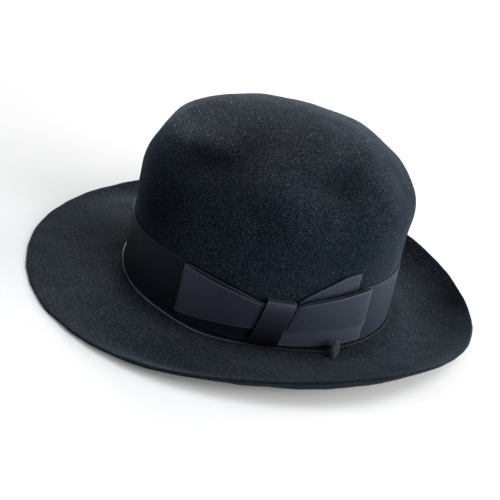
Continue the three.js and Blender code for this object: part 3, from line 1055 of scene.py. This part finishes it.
@dataclass
class Bow:
    """The side bow: two loops, the layers under them, a tail and the knot."""

    work: RibbonWork
    # Each piece's tone is painted light (above 1) or painted shade (below 1), with painted shade beside the
    # pieces over it.
    looks: dict[str, RibbonLook] = field(
        default_factory=lambda: {
            "bow_front_loop": RibbonLook(RibLay.LEANING, (1.12, 1.12), ("bow_knot",), "bow_knot"),
            "bow_front_under_layer": RibbonLook(RibLay.UPRIGHT, (0.6, 0.6), ("bow_front_loop",)),
            "bow_rear_loop": RibbonLook(RibLay.UPRIGHT, (1.62, 1.62), ("bow_knot",), "bow_knot"),
            "bow_rear_under_layer": RibbonLook(RibLay.UPRIGHT, (2.8, 2.8), ("bow_rear_loop", "bow_knot")),
            "bow_rear_tail": RibbonLook(RibLay.UPRIGHT, (1.5, 1.5), ("bow_rear_loop",), "bow_knot"),
        }
    )
    finish: RibbonFinish = RibbonFinish(Finish.BOW)
    # The knot gets painted shade towards its foot.
    knot_look: RibbonLook = RibbonLook(RibLay.LEVEL, (1.2, 1.2), foot=0.12)
    knot_finish: RibbonFinish = RibbonFinish(Finish.KNOT, groove=(0.005, 0.006, 0.01), rib_depth=0.00007)

    def build(self) -> None:
        """Makes and dresses the ribbons and the knot."""
        material = self.finish.build()
        for node, look in self.looks.items():
            piece = self.work.ribbon(node, node.replace("bow_", "ribbon_"), look)
            dress(piece, material, node)
        knot = self.work.ribbon("bow_knot", "ribbon_knot", self.knot_look)
        dress(knot, self.knot_finish.build(), "bow_knot")


@dataclass
class WindCord:
    """The thin cord round the band's foot."""

    node: bpy.types.Object
    levels: int = 1
    # Painted light on the cord at the front of the hat, painted shade at the rear by the bow.
    tone: Span = (6.0, 0.55)
    tone_reach: Span = (-0.05, 0.0)
    finish: ThreadFinish = ThreadFinish(
        Finish.CORD, light=(0.012, 0.016, 0.026), roughness=0.48, specular=0.18
    )

    def build(self) -> None:
        """Makes and dresses the cord."""
        piece = merged_copy(self.node, "trim_cord")
        subdivide(piece, self.levels)
        mark_points(piece, "tone", np.interp(points_of(piece)[:, 1], self.tone_reach, self.tone))
        only(piece)
        bpy.ops.object.shade_smooth()
        dress(piece, self.finish.build(), self.node.name)


@dataclass
class CordButton:
    """The cloth-covered button at the cord's end."""

    node: bpy.types.Object
    levels: int = 2
    finish: ThreadFinish = ThreadFinish(Finish.BUTTON)

    def build(self) -> None:
        """Makes and dresses the button."""
        piece = merged_copy(self.node, "covered_button")
        subdivide(piece, self.levels)
        mark_points(piece, "tone", np.ones(len(piece.data.vertices)))
        only(piece)
        bpy.ops.object.shade_smooth()
        dress(piece, self.finish.build(), self.node.name)


@dataclass(frozen=True)
class SoftLight:
    """One large soft light.

    Attributes:
        name: The light's name.
        turn: Its direction from the hat, from +X towards +Y, in degrees.
        rise: Its height over the horizon, in degrees.
        size: The side of its square.
        power: Its power in watts.
        colour: Its colour.
    """

    name: str
    turn: float
    rise: float
    size: float
    power: float
    colour: Colour


@dataclass
class Studio:
    """Floor, backdrop, lights and camera."""

    camera_place: Point = (0.69308, -0.14955, 0.42587)
    camera_right: Point = (0.0887, 0.96938, 0.2291)
    camera_up: Point = (-0.4915, -0.15736, 0.85653)
    camera_back: Point = (0.8664, -0.18862, 0.46243)
    lens: float = 76.14
    sensor_width: float = 36.0
    shift: Span = (-0.0423, -0.0554)
    sky: Colour = (0.9, 0.95, 1.0)
    sky_strength: float = 0.03
    floor_size: float = 12.0
    backdrop_radius: float = 1.5
    backdrop_segments: int = 96
    backdrop_rings: int = 48
    hat_middle: Point = (0.0, 0.0, 0.07)
    light_distance: float = 1.6
    lights: tuple[SoftLight, ...] = (
        SoftLight("behind_bow_side", 72, 12, 0.7, 20, (1.0, 0.93, 0.89)),
        SoftLight("bow_side", 36, 12, 0.7, 11, (0.92, 0.98, 1.0)),
        SoftLight("back", 110, 12, 0.7, 10.5, (1.0, 1.0, 0.98)),
        SoftLight("far_side", 180, 12, 0.7, 18.5, (1.0, 0.95, 0.91)),
        SoftLight("front", 288, 12, 0.7, 4.6, (1.0, 0.95, 0.95)),
        SoftLight("bow_side_high", 36, 38, 0.7, 6.2, (0.95, 0.96, 1.0)),
        SoftLight("front_high", 288, 38, 0.7, 5.2, (0.97, 0.98, 1.0)),
        SoftLight("high", 62, 65, 0.8, 12, (0.93, 0.99, 1.0)),
        SoftLight("high_far", 180, 65, 0.8, 2.5, (0.93, 0.96, 1.0)),
    )

    def build(self) -> None:
        """Makes the floor, the backdrop, the sky, the lights and the camera."""
        self.make_floor()
        self.make_backdrop()
        self.make_sky()
        for light in self.lights:
            self.make_light(light)
        self.make_camera()

    def make_floor(self) -> None:
        """Adds the floor."""
        bpy.ops.mesh.primitive_plane_add(size=self.floor_size, location=(0, 0, 0))
        floor = bpy.context.object
        floor.name = "studio_floor"
        floor.data.materials.append(FloorFinish().build())

    def make_backdrop(self) -> None:
        """Adds a dome just inside the lights, which is seen but neither lights nor shades the hat."""
        bpy.ops.mesh.primitive_uv_sphere_add(
            segments=self.backdrop_segments, ring_count=self.backdrop_rings, radius=self.backdrop_radius
        )
        dome = bpy.context.object
        dome.name = "studio_backdrop"
        dome.data.materials.append(BackdropFinish().build())
        dome.visible_diffuse = False
        dome.visible_glossy = False
        dome.visible_shadow = False
        bpy.ops.object.shade_smooth()

    def make_sky(self) -> None:
        """Sets the soft light that comes from all round."""
        world = bpy.data.worlds.new("studio")
        world.use_nodes = True
        background = world.node_tree.nodes["Background"]
        background.inputs["Color"].default_value = (*self.sky, 1.0)
        background.inputs["Strength"].default_value = self.sky_strength
        bpy.context.scene.world = world

    def make_light(self, light: SoftLight) -> None:
        """Adds a soft light that looks at the hat.

        Args:
            light: The light's sizes.
        """
        turn, rise = math.radians(light.turn), math.radians(light.rise)
        back = Vector((math.cos(rise) * math.cos(turn), math.cos(rise) * math.sin(turn), math.sin(rise)))
        data = bpy.data.lights.new(light.name, "AREA")
        data.size = light.size
        data.energy = light.power
        data.color = light.colour
        lamp = bpy.data.objects.new(light.name, data)
        lamp.location = Vector(self.hat_middle) + back * self.light_distance
        lamp.rotation_euler = back.to_track_quat("Z", "Y").to_euler()
        lamp.visible_camera = False
        bpy.context.scene.collection.objects.link(lamp)

    def make_camera(self) -> None:
        """Adds the camera, turned as the photo was taken."""
        data = bpy.data.cameras.new("camera")
        data.lens = self.lens
        data.sensor_width = self.sensor_width
        data.shift_x, data.shift_y = self.shift
        camera = bpy.data.objects.new("camera", data)
        turn = Matrix((self.camera_right, self.camera_up, self.camera_back)).transposed()
        camera.matrix_world = Matrix.Translation(self.camera_place) @ turn.to_4x4()
        bpy.context.scene.collection.objects.link(camera)
        bpy.context.scene.camera = camera


def main() -> None:
    """Builds the hat and its studio."""
    logging.basicConfig(level=logging.INFO, format="%(name)s: %(message)s")
    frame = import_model()
    bpy.context.scene.view_settings.view_transform = "Standard"
    nodes = frame["nodes"]
    Studio().build()
    FeltBody(nodes["felt_body"], nodes["hat_band"]).build()
    work = RibbonWork(nodes)
    HatBand(work).build()
    Bow(work).build()
    WindCord(nodes["wind_cord"]).build()
    CordButton(nodes["cord_button"]).build()


if __name__ == "__main__":
    main()
